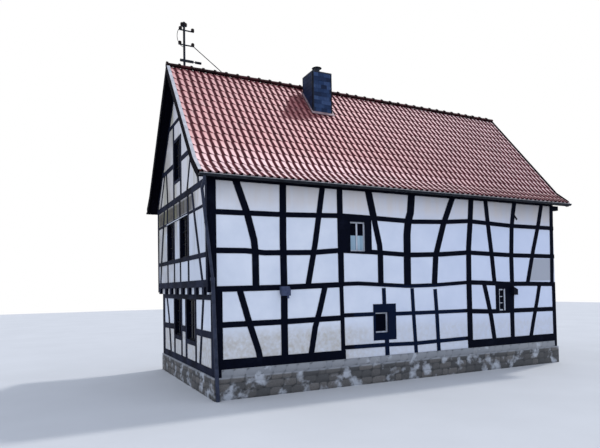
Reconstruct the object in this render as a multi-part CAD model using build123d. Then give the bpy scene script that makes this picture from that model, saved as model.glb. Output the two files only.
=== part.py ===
from build123d import *
import math
import os

# A two storey half timbered house with a steep tiled roof.
# Lengths are millimetres. While modelling, x runs along the front wall from the upper left
# corner, y runs into the house from the front wall's face, and z is the height above ground.

# Main sizes of the body
house_length = 12370
house_depth = 5860
left_jetty = 155
timber_depth = 160
infill_setback = 14
infill_thickness = 125
smallest_panel_area = 3000

# Levels
plinth_height = 550
plinth_thickness = 420
plinth_ledge = 30
ground_floor_thickness = 180
gable_sill_height = 190
long_sill_height = 240
lower_gable_height = 2020
gable_plate_height = 140
joist_height = 180
upper_floor_thickness = 130
gable_beam_height = 180
upper_storey_height = 2860
wall_plate_height = 240
tie_beam_height = 170
attic_floor_thickness = 150
storey_beam_drop = 30

# Joists that carry the upper storey
joist_width = 200
joist_spacing = 720
first_joist = 425
joist_length = 1100
joist_infill_setback = 75

# The crooked timbers are listed below by their places on walls of these lengths and heights,
# and the whole frame stretches with the walls that are built
surveyed_length = 12370
surveyed_depth = 5860
surveyed_long_lower = 1980
surveyed_long_upper = 2650
surveyed_gable_lower = 1830
surveyed_gable_upper = 2520
surveyed_attic = 3659

# Corner posts
front_corner_post = 210
upper_corner_post = 230
right_corner_post = 160
gable_corner_post = 140

# Heights of the rails above their storey's foot
lower_rail = 1090
foot_rail = 300
breast_rail = 920
head_rail = 1880
gable_rail = 820
lower_collar = 1010
upper_collar = 2245

# Windows: place along the wall, sill above the storey's foot, width, height, depth in the wall
upper_window = (4070, 965, 515, 825, 75)
middle_window = (4850, 645, 460, 575, 85)
small_window = (9670, 1115, 280, 695, 5)
gable_lower_windows = [(1780, 550, 870, 1140, 45), (3350, 580, 750, 1110, 45)]
gable_upper_windows = [(1880, 860, 780, 1130, 45), (3525, 860, 770, 1130, 45)]
attic_window = (2660, 510, 700, 1140, 45)

# Boards that surround the windows of the long walls: left, right, below, above
upper_window_boards = (320, 190, 35, 140)
middle_window_boards = (70, 250, 205, 240)
small_window_boards = (140, 340, 60, 180)

# Window joinery
window_clearance = 0.3
window_frame_width = 16
window_frame_depth = 60
sash_width = 24
sash_depth = 40
sash_inset = 10
pane_thickness = 6

# Roof
roof_pitch = 50.7
eaves_pitch = 39.0
eaves_overhang = 330
sprocket_run = 550
left_verge = 300
right_verge = 400
rafter_layer = 85
tile_layer = 60
tile_overhang = 30
gable_rafter_height = 120
rafter_foot_drop = 400
barge_board_thickness = 25
barge_board_drop = 60
board_joint = 4
verge_strip_width = 90
verge_strip_thickness = 12
ridge_radius = 90
ridge_sink = 40
plate_end_length = 270
plate_end_height = 150
plate_end_drop = 220

# Gutters and downpipes
fascia_thickness = 20
fascia_height = 90
gutter_radius = 60
gutter_wall = 5
gutter_drop = 25
gutter_right_gap = 50
pipe_radius = 38
lower_pipe_radius = 48
pipe_off_wall = 90
pipe_outlet = 80
pipe_top_place = -170
pipe_neck_place = -140
pipe_neck_level = 5120
pipe_joint_place = 95
pipe_joint_level = 2980
pipe_foot_place = 190
collar_radius = 60
collar_height = 80
pipe_sides = 16

# Chimney on the front slope
chimney_left = 4080
chimney_width = 680
chimney_depth = 665
chimney_before_ridge = 230
chimney_above_ridge = 170
chimney_cap_height = 40
chimney_cap_ledge = 10
roof_hole_gap = 5
flashing_width = 70
flashing_thickness = 12
cowl_pipe_radius = 90
cowl_pipe_height = 240
cowl_radius = 160
cowl_top_radius = 60
cowl_height = 50
cowl_sides = 24

# Steel service mast on the back slope
mast_along = 300
mast_behind_ridge = 230
mast_above_ridge = 1470
mast_radius = 35
mast_collar_radius = 80
mast_collar_height = 120
mast_sides = 12
insulator_radius = 38
insulator_height = 90
insulator_sides = 10
strain_link = 50
strain_insulator_length = 190

# Arms of the mast: drop below its top, reach to the left, reach to the right, thickness
mast_arms = [(700, 170, 300, 30), (250, 150, 300, 30), (120, 100, 80, 30)]
mast_low_arm = (1180, 130, 280, 60)
stay_radius = 13
stay_sides = 8
stay_drop = 500
stay_foot_along = 2060

# Lamps on the front wall: place along the wall and height above ground
floodlight_place = (1900, 2500)
floodlight_width = 250
floodlight_height = 240
floodlight_depth = 140
sensor_radius = 30
sensor_height = 70
wall_lamp_place = (10215, 2350)
wall_lamp_width = 190
wall_lamp_height = 270
wall_lamp_slope = 90
wall_lamp_depth = 120

# Derived levels
gable_sill_top = plinth_height + gable_sill_height
long_sill_top = gable_sill_top + long_sill_height
lower_gable_top = plinth_height + lower_gable_height
joist_top = lower_gable_top + joist_height
storey_beam_level = joist_top - storey_beam_drop
upper_floor_top = joist_top + upper_floor_thickness
wall_top = joist_top + upper_storey_height
plate_underside = wall_top - wall_plate_height
tie_top = wall_top - tie_beam_height
tie_underside = tie_top - tie_beam_height
far_face = house_depth - timber_depth
timber_lap = 40

# Roof lines
ridge_y = house_depth / 2
roof_start = -left_verge
roof_end = house_length + right_verge
origin_shift = Pos(-(roof_start + roof_end) / 2, -ridge_y, 0)
pitch_slope = math.tan(math.radians(roof_pitch))
eaves_slope = math.tan(math.radians(eaves_pitch))
kink_y = sprocket_run - eaves_overhang
roof_surface = rafter_layer + tile_layer


def roof_line(extra):
    """Where the eaves line and the main slope line of a layer cross, and its ridge height."""
    eaves_rise = extra / math.cos(math.radians(eaves_pitch))
    main_rise = extra / math.cos(math.radians(roof_pitch))
    crossing = kink_y + (eaves_rise - main_rise) / (pitch_slope - eaves_slope)
    height = wall_top + eaves_rise + crossing * eaves_slope
    ridge = height + (ridge_y - crossing) * pitch_slope
    return crossing, height, ridge


def sprocket_z(y, extra):
    """Height of a layer over the eaves, a given thickness above the rafters' foot."""
    return wall_top + y * eaves_slope + extra / math.cos(math.radians(eaves_pitch))


ridge_level = roof_line(roof_surface)[2]
eaves_level = sprocket_z(-eaves_overhang - fascia_thickness, rafter_layer)
fascia_foot = eaves_level - fascia_height
chimney_top = ridge_level + chimney_above_ridge
chimney_back = ridge_y - chimney_before_ridge
chimney_front = chimney_back - chimney_depth
mast_top = ridge_level + mast_above_ridge

# Planes of the walls, seen as flat drawings
long_plane = Plane(origin=(0, 0, 0), x_dir=(1, 0, 0), z_dir=(0, -1, 0))
gable_plane = Plane(origin=(0, 0, 0), x_dir=(0, 1, 0), z_dir=(1, 0, 0))


def save(name, shape):
    os.makedirs("parts", exist_ok=True)
    export_step(origin_shift * shape, f"parts/{name}.step")


def box(x0, x1, y0, y1, z0, z1):
    size = Box(x1 - x0, y1 - y0, z1 - z0, align=(Align.MIN, Align.MIN, Align.MIN))
    return Pos(x0, y0, z0) * size


def rod(start, end, radius, sides):
    """A bar between two points, as round as its number of sides lets it be."""
    line = Line(start, end)
    return sweep(Plane(line @ 0, z_dir=line % 0) * RegularPolygon(radius, sides), path=line)


def round_post(radius, height, sides):
    """An upright round piece on its foot, with few sides to keep the model light."""
    return extrude(RegularPolygon(radius, sides), amount=height)


def outline(points):
    return make_face(Polyline(*points, close=True))


def rectangle(x0, x1, z0, z1):
    return outline([(x0, z0), (x1, z0), (x1, z1), (x0, z1)])


def band(points, width):
    """A hewn timber's face: a bent band of one width about a line of points."""
    sides = ([], [])
    for index, point in enumerate(points):
        before = Vector(*points[max(index - 1, 0)])
        after = Vector(*points[min(index + 1, len(points) - 1)])
        along = (after - before).normalized()
        across = Vector(-along.Y, along.X) * (width / 2)
        sides[0].append(Vector(*point) + across)
        sides[1].append(Vector(*point) - across)
    return outline(sides[0] + sides[1][::-1])


class Storey:
    """One storey of a wall. It puts surveyed places and heights onto the wall as built."""

    def __init__(self, length, surveyed, foot, head, surveyed_height):
        self.foot = foot
        self.head = head
        self.stretch = length / surveyed
        self.lift = (head - foot) / surveyed_height

    def at(self, place, rise):
        return place * self.stretch, self.foot + rise * self.lift

    def timber(self, points, width):
        return band([self.at(*point) for point in points], width)

    def rail(self, level, width, bends):
        return self.timber([(place, level + bend) for place, bend in bends], width)


class Window:
    """A window's opening on the wall as built, from its entry in the list of windows."""

    def __init__(self, storey, entry):
        place, sill, self.width, self.height, self.inset = entry
        self.left, self.low = storey.at(place, sill)
        self.right = self.left + self.width
        self.high = self.low + self.height

    def face(self):
        return rectangle(self.left, self.right, self.low, self.high)

    def boards(self, widths):
        """The boards round the opening, which the opening is cut from later."""
        left, right, below, above = widths
        return rectangle(self.left - left, self.right + right, self.low - below, self.high + above)

    def posts(self, storey, left_width, right_width):
        """The two posts that the window stands between."""
        near = rectangle(self.left - left_width, self.left, storey.foot, storey.head + timber_lap)
        far = rectangle(self.right, self.right + right_width, storey.foot, storey.head + timber_lap)
        return [near, far]


long_lower = Storey(house_length, surveyed_length, gable_sill_top, storey_beam_level,
                    surveyed_long_lower)
long_upper = Storey(house_length, surveyed_length, storey_beam_level, plate_underside,
                    surveyed_long_upper)
gable_lower = Storey(house_depth, surveyed_depth, gable_sill_top, lower_gable_top,
                     surveyed_gable_lower)
gable_upper = Storey(house_depth, surveyed_depth, joist_top, tie_underside, surveyed_gable_upper)
attic = Storey(house_depth, surveyed_depth, tie_top, roof_line(0)[2], surveyed_attic)


def long_lower_timbers(middle, small):
    """Posts, braces and rails of a long wall's lower storey."""
    wall = long_lower
    low, high = wall.foot, wall.head
    rebuilt_start = wall.at(3850, 0)[0]
    rebuilt_end = wall.at(8300, 0)[0]
    casing_top = middle.high + middle_window_boards[3]
    casing_low = middle.low - middle_window_boards[2]
    return [
        rectangle(left_jetty, rebuilt_start, low, long_sill_top),
        rectangle(rebuilt_end, house_length, low, long_sill_top),
        rectangle(left_jetty, left_jetty + front_corner_post, low, high),
        rectangle(house_length - right_corner_post, house_length, low, high),
        wall.timber([(800, 1980), (1040, 1160), (1290, 410), (1350, 120)], 160),
        wall.timber([(2030, 1980), (2020, 960), (2020, 120)], 185),
        wall.timber([(3240, 1980), (3070, 1360), (2920, 910), (2770, 120)], 160),
        wall.timber([(3750, 1980), (3765, 1110), (3775, 0)], 120),
        band([wall.at(5155, 1910), (wall.at(5165, 0)[0], casing_top)], 125),
        band([(wall.at(5225, 0)[0], casing_low), wall.at(5235, 0)], 140),
        wall.timber([(6165, 1890), (6200, 1110), (6265, 0)], 120),
        wall.timber([(7030, 1850), (7080, 1060), (7120, 0)], 130),
        wall.timber([(8395, 1980), (8395, 120)], 205),
        wall.timber([(9040, 1980), (9190, 1410), (9310, 910), (9440, 120)], 165),
        wall.timber([(10285, 1980), (10250, 1110), (10245, 120)], 175),
        wall.timber([(11600, 1980), (11450, 1410), (11230, 680), (11080, 120)], 155),
        wall.rail(lower_rail, 140, [(0, -10), (2000, 0), (3750, 30)]),
        wall.rail(lower_rail, 110, [(3750, 95), (5000, 95), (5500, 75), (7100, 70), (8400, 70)]),
        wall.rail(lower_rail, 140, [(8400, 50), (9300, 10), (12370, -5)]),
        wall.rail(foot_rail, 110, [(3770, 10), (5200, 0), (6200, -25), (8400, 10)]),
        middle.boards(middle_window_boards),
        small.boards(small_window_boards),
    ]


def long_storey_beam():
    """The crooked beam between the two storeys of a long wall."""
    middle = [(3750, 60), (4300, 70), (5400, 10), (6000, -25), (7000, -10), (8300, 55)]
    right = [(8300, 60), (9000, 40), (10000, -10), (11000, -15), (12370, -45)]
    return [
        long_upper.rail(0, 140, [(0, -25), (2000, -5), (3750, 45)]),
        long_upper.rail(0, 110, middle),
        long_upper.rail(0, 140, right),
    ]


def long_upper_timbers(window):
    """Posts, braces and rails of a long wall's upper storey."""
    wall = long_upper
    breast = [(0, 0), (1000, 5), (1500, -40), (2900, -10), (3750, 60)]
    return [
        rectangle(0, house_length, plate_underside, wall_top),
        rectangle(0, upper_corner_post, wall.foot, wall.head),
        wall.timber([(12295, 2690), (12220, 0)], 160),
        wall.timber([(745, 2690), (1030, 1900), (1215, 1200), (1245, 880), (1250, 0)], 180),
        wall.timber([(2040, 2690), (2020, 1280), (2030, 0)], 185),
        wall.timber([(3215, 2690), (3100, 1970), (2960, 1130), (2720, 0)], 160),
        wall.timber([(3750, 2690), (3755, 0)], 175),
        window.boards(upper_window_boards),
        wall.timber([(4690, 2690), (4865, 1920)], 220),
        wall.timber([(4855, 1960), (5040, 1170), (5065, 880), (5060, 0)], 180),
        wall.timber([(6230, 2690), (6170, 2130), (6080, 1880), (6025, 1480), (6005, 0)], 250),
        wall.timber([(7815, 2690), (7420, 1840), (7200, 1200), (7090, 880), (7010, 0)], 200),
        wall.timber([(8575, 2690), (8510, 1930), (8420, 1130), (8395, 0)], 200),
        wall.timber([(9190, 2690), (9265, 2000), (9410, 880), (9500, 0)], 165),
        wall.timber([(10500, 2690), (10420, 2330), (10340, 1830), (10285, 880), (10285, 0)], 175),
        wall.timber([(10440, 2280), (10600, 2120)], 60),
        wall.timber([(11800, 2690), (11630, 2030), (11330, 1110), (11015, 0)], 165),
        wall.rail(head_rail, 130, [(0, -15), (2100, 0), (3750, 50)]),
        wall.rail(head_rail, 135, [(3750, 50), (5000, 30), (6100, 0)]),
        wall.rail(head_rail, 130, [(6100, -15), (7500, 35), (8450, 100)]),
        wall.rail(head_rail, 130, [(8450, 100), (10300, 20), (12370, 10)]),
        wall.rail(breast_rail, 135, breast),
        wall.rail(breast_rail, 130, [(3750, 60), (4800, 30), (6100, -35)]),
        wall.rail(breast_rail, 140, [(6100, -35), (7300, 0), (8400, 70)]),
        wall.rail(breast_rail, 135, [(8400, 70), (10300, 10), (12370, -5)]),
    ]


def gable_lower_timbers(near, far):
    """Posts, braces and rails of a gable wall's lower storey."""
    wall = gable_lower
    low, high = wall.foot, wall.head
    timbers = [
        rectangle(0, house_depth, plinth_height, gable_sill_top),
        rectangle(timber_depth, far_face, high - gable_plate_height, high),
        rectangle(timber_depth, timber_depth + gable_corner_post, low, high),
        rectangle(far_face - gable_corner_post, far_face, low, high),
        wall.timber([(930, 1830), (1320, 0)], 150),
        wall.timber([(5280, 1830), (4970, 1110), (4720, 0)], 160),
        wall.rail(gable_rail, 170, [(0, 0), (4180, 0), (5860, -40)]),
        near.boards((130, 180, 130, 0)),
        far.boards((140, 160, 130, 0)),
    ]
    return timbers + near.posts(wall, 130, 180) + far.posts(wall, 140, 160)


def gable_upper_timbers(near, far):
    """Posts, braces and rails of a gable wall above the joists, up to the tie beam."""
    wall = gable_upper
    timbers = [
        rectangle(timber_depth, far_face, joist_top, joist_top + gable_beam_height),
        rectangle(timber_depth, far_face, tie_underside, tie_top),
        rectangle(0, house_depth, near.low - 120, near.low),
        rectangle(0, house_depth, near.high, near.high + 70),
        wall.timber([(1370, 2560), (1120, 1800), (730, 800), (420, 0)], 140),
        wall.timber([(4790, 2560), (5110, 1500), (5350, 700), (5500, 0)], 170),
    ]
    return timbers + near.posts(wall, 140, 120) + far.posts(wall, 120, 130)


def gable_outline():
    """The gable wall above the tie beam, up to the rafters' underside."""
    crossing, height, ridge = roof_line(0)
    near = [(timber_depth, tie_top), (timber_depth, sprocket_z(timber_depth, 0)), (crossing, height)]
    far = [(house_depth - along, level) for along, level in reversed(near)]
    return outline(near + [(ridge_y, ridge)] + far)


def gable_rafters():
    """The pair of rafters that frames the gable triangle."""
    crossing, height, ridge = roof_line(0)
    drop = gable_rafter_height / 2 / math.cos(math.radians(roof_pitch))
    foot_z = wall_top - rafter_foot_drop
    foot_y = crossing + (foot_z + drop - height) / pitch_slope
    apex = (ridge_y, ridge - drop)
    near = band([(foot_y, foot_z), apex], gable_rafter_height)
    far = band([(house_depth - foot_y, foot_z), apex], gable_rafter_height)
    return [near, far]


def attic_timbers(window):
    """Collars, posts and struts of the gable triangle."""
    wall = attic
    head_rail_top = window.high + 90
    foot = wall.foot - timber_lap
    timbers = [
        wall.rail(lower_collar, 140, [(0, 0), (surveyed_depth, 0)]),
        wall.rail(upper_collar, 110, [(0, 0), (surveyed_depth, 0)]),
        band([(window.left - 75, foot), (window.left - 95, head_rail_top)], 150),
        band([(window.right + 85, foot), (window.right + 55, wall.at(0, upper_collar)[1])], 150),
        rectangle(window.left - 170, window.right + 80, window.high, head_rail_top),
        window.boards((80, 80, 90, 0)),
        wall.timber([(4440, 1010), (4300, -40)], 130),
        wall.timber([(4650, 1010), (5360, -40)], 95),
        wall.timber([(1500, 860), (1900, -40)], 110),
        wall.timber([(820, 360), (740, -40)], 120),
    ]
    return timbers + gable_rafters()


def joined(faces):
    result = Sketch()
    result += faces
    return result


def frame_and_infill(wall, timbers, windows):
    """Split a wall's outline into its timber frame and the plaster panels between."""
    holes = joined([window.face() for window in windows])
    frame = (joined(timbers) & wall) - holes
    panels = wall - frame - holes
    kept = [face for face in panels.faces() if face.area > smallest_panel_area]
    return frame, Sketch(kept)


def solid_wall(flat, plane, inward, start, thickness):
    faces = (Pos(*(inward * start)) * (plane * flat)).faces()
    solids = [extrude(face, amount=thickness, dir=inward) for face in faces]
    return Compound([part.solid() for part in solids])


def save_wall(name, flat_frame, flat_panels, plane, outer_face, inward, more_infill=()):
    moved = Pos(*outer_face)
    frame = moved * solid_wall(flat_frame, plane, inward, 0, timber_depth)
    panels = moved * solid_wall(flat_panels, plane, inward, infill_setback, infill_thickness)
    save(f"{name}_frame", frame)
    save(f"{name}_infill", Compound([*panels.solids(), *more_infill]))


def window_parts(window, plane, outer_face, inward, leaves):
    """A window's frame with its sashes, and its panes, set into the wall."""
    left = window.left + window_clearance
    right = window.right - window_clearance
    low = window.low + window_clearance
    high = window.high - window_clearance
    inner_left, inner_right = left + window_frame_width, right - window_frame_width
    inner_low, inner_high = low + window_frame_width, high - window_frame_width
    frame = rectangle(left, right, low, high) - rectangle(inner_left, inner_right, inner_low, inner_high)
    leaf_width = (inner_right - inner_left) / leaves
    sashes = Sketch()
    panes = Sketch()
    for leaf_number in range(leaves):
        leaf_left = inner_left + leaf_number * leaf_width
        leaf_right = leaf_left + leaf_width
        leaf = rectangle(leaf_left, leaf_right, inner_low, inner_high)
        pane = rectangle(leaf_left + sash_width, leaf_right - sash_width,
                         inner_low + sash_width, inner_high - sash_width)
        sashes += leaf - pane
        panes += pane
    base = Pos(*outer_face)
    sash_start = window.inset + sash_inset
    pane_start = sash_start + (sash_depth - pane_thickness) / 2
    frame_solid = base * solid_wall(frame, plane, inward, window.inset, window_frame_depth)
    sash_solid = base * solid_wall(sashes, plane, inward, sash_start, sash_depth)
    pane_solid = base * solid_wall(panes, plane, inward, pane_start, pane_thickness)
    joinery = Part() + frame_solid.solids() + sash_solid.solids()
    return joinery.solids(), pane_solid.solids()


def save_windows(side, fitted):
    """Save one wall's joinery and glass from a list of (frames, panes)."""
    save(f"{side}_windows", Compound([solid for frames, panes in fitted for solid in frames]))
    save(f"{side}_glass", Compound([solid for frames, panes in fitted for solid in panes]))


def make_plinth():
    outer_left = left_jetty - plinth_ledge
    outer_right = house_length + plinth_ledge
    low_y = -plinth_ledge
    high_y = house_depth + plinth_ledge
    inner_left = outer_left + plinth_thickness
    inner_right = outer_right - plinth_thickness
    inner_low = low_y + plinth_thickness
    inner_high = high_y - plinth_thickness
    save("plinth_left", box(outer_left, inner_left, low_y, high_y, 0, plinth_height))
    save("plinth_right", box(inner_right, outer_right, low_y, high_y, 0, plinth_height))
    step_left = left_jetty + timber_depth
    step_right = house_length - timber_depth
    for name, y0, y1 in (("plinth_front", low_y, inner_low), ("plinth_back", inner_high, high_y)):
        lower = box(inner_left, inner_right, y0, y1, 0, gable_sill_top)
        step = box(step_left, step_right, y0, y1, plinth_height, gable_sill_top)
        save(name, lower + step)
    floor_low = plinth_height - ground_floor_thickness
    save("ground_floor", box(inner_left, inner_right, inner_low, inner_high, floor_low, plinth_height))


def make_long_walls():
    span = rectangle(0, house_length, plinth_height, wall_top)
    beam = joined(long_storey_beam()) & span
    lower_area = rectangle(left_jetty, house_length, gable_sill_top, storey_beam_level) - beam
    upper_area = rectangle(0, house_length, storey_beam_level, wall_top) - beam
    upper = Window(long_upper, upper_window)
    middle = Window(long_lower, middle_window)
    small = Window(long_lower, small_window)
    lower_walls = frame_and_infill(lower_area, long_lower_timbers(middle, small), [middle, small])
    upper_walls = frame_and_infill(upper_area, long_upper_timbers(upper), [upper])
    upper_frame = upper_walls[0] + beam
    sides = {
        "front": (Vector(0, 0, 0), Vector(0, 1, 0)),
        "back": (Vector(0, house_depth, 0), Vector(0, -1, 0)),
    }
    for side, (face, inward) in sides.items():
        save_wall(f"{side}_lower", lower_walls[0], lower_walls[1], long_plane, face, inward)
        save_wall(f"{side}_upper", upper_frame, upper_walls[1], long_plane, face, inward)
        leaves = ((upper, 2), (middle, 1), (small, 1))
        save_windows(side, [window_parts(window, long_plane, face, inward, count)
                            for window, count in leaves])


def make_gable_walls():
    lower_area = rectangle(timber_depth, far_face, gable_sill_top, lower_gable_top)
    lower_area += rectangle(0, house_depth, plinth_height, gable_sill_top)
    upper_area = rectangle(timber_depth, far_face, joist_top, tie_top) + gable_outline()
    lower_windows = [Window(gable_lower, entry) for entry in gable_lower_windows]
    upper_windows = [Window(gable_upper, entry) for entry in gable_upper_windows]
    top_window = Window(attic, attic_window)
    lower = frame_and_infill(lower_area, gable_lower_timbers(*lower_windows), lower_windows)
    timbers = gable_upper_timbers(*upper_windows) + attic_timbers(top_window)
    upper = frame_and_infill(upper_area, timbers, upper_windows + [top_window])
    sides = {
        "left": (Vector(left_jetty, 0, 0), Vector(0, 0, 0), Vector(1, 0, 0)),
        "right": (Vector(house_length, 0, 0), Vector(house_length, 0, 0), Vector(-1, 0, 0)),
    }
    for side, (lower_face, upper_face, inward) in sides.items():
        between = joist_infill(upper_face, inward)
        save_wall(f"{side}_lower", lower[0], lower[1], gable_plane, lower_face, inward, between)
        save_wall(f"{side}_upper", upper[0], upper[1], gable_plane, upper_face, inward)
        fitted = [window_parts(window, gable_plane, lower_face, inward, 2) for window in lower_windows]
        fitted += [window_parts(window, gable_plane, upper_face, inward, 2)
                   for window in upper_windows + [top_window]]
        save_windows(side, fitted)
        save_joists(side, upper_face, inward)


def joist_places():
    edge = timber_depth + joist_width / 2
    last = house_depth - edge
    places = [edge] if first_joist - edge > joist_width else []
    place = first_joist
    while place + joist_width < last:
        places.append(place)
        place += joist_spacing
    return places + [last]


def save_joists(side, outer_face, inward):
    joists = []
    for place in joist_places():
        flat = rectangle(place - joist_width / 2, place + joist_width / 2, lower_gable_top, joist_top)
        joists += (Pos(*outer_face) * solid_wall(flat, gable_plane, inward, 0, joist_length)).solids()
    save(f"{side}_joist_ends", Compound(joists))


def joist_infill(outer_face, inward):
    """The plaster between the joists, a little behind their ends."""
    edges = [timber_depth - joist_width / 2] + joist_places()
    faces = []
    for before, after in zip(edges, edges[1:]):
        start = before + joist_width / 2
        end = after - joist_width / 2
        if end - start > joist_width / 4:
            faces.append(rectangle(start, end, lower_gable_top, joist_top))
    wall = solid_wall(Sketch(faces), gable_plane, inward, joist_infill_setback, infill_thickness)
    return (Pos(*outer_face) * wall).solids()


def make_floors():
    left = timber_depth
    right = house_length - timber_depth
    save("upper_floor", box(left, right, timber_depth, far_face, joist_top, upper_floor_top))
    attic_low = tie_top - attic_floor_thickness
    save("attic_floor", box(left, right, timber_depth, far_face, attic_low, tie_top))


def slope_face(low_extra, high_extra, reach):
    """The section of one layer of the front slope, between two heights above the rafters' foot."""
    low_cross, low_z, low_ridge = roof_line(low_extra)
    high_cross, high_z, high_ridge = roof_line(high_extra)
    points = [
        (-reach, sprocket_z(-reach, low_extra)),
        (-reach, sprocket_z(-reach, high_extra)),
        (high_cross, high_z),
        (ridge_y, high_ridge),
        (ridge_y, low_ridge),
        (low_cross, low_z),
    ]
    return outline(points)


def one_side(face):
    """The part of a slope's section that stops short of the ridge joint."""
    return face & rectangle(-house_depth, ridge_y - board_joint / 2, 0, mast_top)


def along_roof(face, x0, x1):
    return Pos(x0, 0, 0) * extrude(gable_plane * face, amount=x1 - x0, dir=(1, 0, 0))


def to_back(shape):
    """The same shape on the back half of the house."""
    return mirror(shape, about=Plane(origin=(0, ridge_y, 0), z_dir=(0, 1, 0)))


def to_far_corner(shape):
    """The same shape at the opposite corner of the house."""
    turn = Pos((roof_start + roof_end) / 2, ridge_y, 0) * Rot(0, 0, 180)
    return turn * (origin_shift * shape)


def make_roof():
    x0 = roof_start + barge_board_thickness
    x1 = roof_end - barge_board_thickness
    seat_top = sprocket_z(timber_depth, 0)
    seat = outline([(0, wall_top), (timber_depth, wall_top), (timber_depth, seat_top)])
    rafters = slope_face(0, rafter_layer, eaves_overhang)
    tiles = slope_face(rafter_layer, roof_surface, eaves_overhang + tile_overhang)
    tile_slab = along_roof(tiles, x0, x1)
    gap = roof_hole_gap
    chimney_hole = box(chimney_left - gap, chimney_left + chimney_width + gap, chimney_front - gap,
                       chimney_back + gap, plinth_height, chimney_top)
    front_rafters = along_roof(rafters, x0, x1) + along_roof(seat, 0, house_length)
    save("roof_front_slope", front_rafters - chimney_hole)
    save("roof_back_slope", to_back(front_rafters))
    save("front_roof_tiles", tile_slab - chimney_hole)
    save("back_roof_tiles", to_back(tile_slab))
    make_plate_ends()
    make_barge_boards()
    make_ridge()
    make_eaves()


def make_plate_ends():
    """The wall plates' ends, which stand out of the right gable under the roof."""
    high = wall_top - plate_end_drop
    end = box(house_length, house_length + plate_end_length, 0, timber_depth,
              high - plate_end_height, high)
    save("plate_ends", Compound([end.solid(), to_back(end).solid()]))


def make_barge_boards():
    side = one_side(slope_face(-barge_board_drop, roof_surface, eaves_overhang))
    side = side & rectangle(-house_depth, ridge_y, fascia_foot, mast_top)
    right_board = roof_end - barge_board_thickness
    for name, x0 in (("left_barge_boards", roof_start), ("right_barge_boards", right_board)):
        board = along_roof(side, x0, x0 + barge_board_thickness)
        save(name, Compound([board.solid(), to_back(board).solid()]))
    strip = slope_face(roof_surface, roof_surface + verge_strip_thickness,
                       eaves_overhang + tile_overhang)
    strip_slab = along_roof(strip, roof_start, roof_start + verge_strip_width)
    crown = along_roof(ridge_section(), roof_start, roof_start + verge_strip_width)
    save("front_verge_strip", strip_slab - crown)


def ridge_section():
    foot = ridge_level - ridge_y * pitch_slope
    round_cap = Pos(ridge_y, ridge_level - ridge_sink) * Circle(ridge_radius)
    return round_cap - outline([(0, foot), (ridge_y, ridge_level), (house_depth, foot)])


def make_ridge():
    save("ridge_capping", along_roof(ridge_section(), roof_start, roof_end))


def make_eaves():
    front = -eaves_overhang - fascia_thickness
    fascia = box(roof_start + barge_board_thickness, roof_end - barge_board_thickness,
                 front, -eaves_overhang, fascia_foot, eaves_level)
    save("eaves_boards", Compound([fascia.solid(), to_back(fascia).solid()]))
    centre_y = front - gutter_radius
    rim = eaves_level - gutter_drop
    above = Pos(0, gutter_radius) * Rectangle(2 * gutter_radius, 2 * gutter_radius)
    stop = Pos(centre_y, rim) * (Circle(gutter_radius) - above)
    ring = stop - Pos(centre_y, rim) * Circle(gutter_radius - gutter_wall)
    gutter_end = roof_end - gutter_right_gap
    channel = along_roof(ring, roof_start, gutter_end)
    for x0 in (roof_start, gutter_end - gutter_wall):
        channel += along_roof(stop, x0, x0 + gutter_wall)
    save("gutters", Compound([channel.solid(), to_back(channel).solid()]))
    make_downpipes(centre_y, rim - gutter_radius)


def make_downpipes(gutter_y, gutter_low):
    """One pipe at the left front corner and one at the opposite corner."""
    wall_y = -pipe_off_wall
    outlet = gutter_low - pipe_outlet
    joint = (pipe_joint_place, wall_y, pipe_joint_level)
    path = Polyline((pipe_top_place, gutter_y, gutter_low), (pipe_top_place, gutter_y, outlet),
                    (pipe_neck_place, wall_y, pipe_neck_level), joint)
    start = Plane(path @ 0, z_dir=path % 0)
    section = start * RegularPolygon(pipe_radius, pipe_sides)
    upper = sweep(section, path=path, transition=Transition.RIGHT)
    lower = rod(joint, (pipe_foot_place, wall_y, 0), lower_pipe_radius, pipe_sides)
    reach = house_depth / 2
    lower = lower & box(-reach, reach, -reach, reach, 0, pipe_joint_level + collar_height)
    collar_foot = Pos(pipe_joint_place, wall_y, pipe_joint_level - collar_height)
    pipe = upper + lower + collar_foot * round_post(collar_radius, collar_height, pipe_sides)
    save("downpipes", Compound([pipe.solid(), to_far_corner(pipe).solid()]))


def make_chimney():
    left = chimney_left
    right = left + chimney_width
    save("chimney_stack", box(left, right, chimney_front, chimney_back, tie_top, chimney_top))
    ledge = chimney_cap_ledge
    cap_top = chimney_top + chimney_cap_height
    cap = box(left - ledge, right + ledge, chimney_front - ledge, chimney_back + ledge,
              chimney_top, cap_top)
    save("chimney_cap", cap)
    centre = Pos((left + right) / 2, (chimney_front + chimney_back) / 2, cap_top)
    pipe = round_post(cowl_pipe_radius, cowl_pipe_height, cowl_sides)
    hood = Cone(cowl_radius, cowl_top_radius, cowl_height, align=(Align.CENTER, Align.CENTER, Align.MIN))
    save("chimney_cowl", centre * (pipe + Pos(0, 0, cowl_pipe_height) * hood))
    width = flashing_width
    sheet = slope_face(roof_surface, roof_surface + flashing_thickness, 0)
    apron = along_roof(sheet, left - width, right + width)
    keep = box(left - width, right + width, chimney_front - width, chimney_back, 0, chimney_top)
    hole = box(left, right, chimney_front, chimney_back + width, 0, chimney_top)
    save("chimney_flashing", (apron & keep) - hole)


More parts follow.
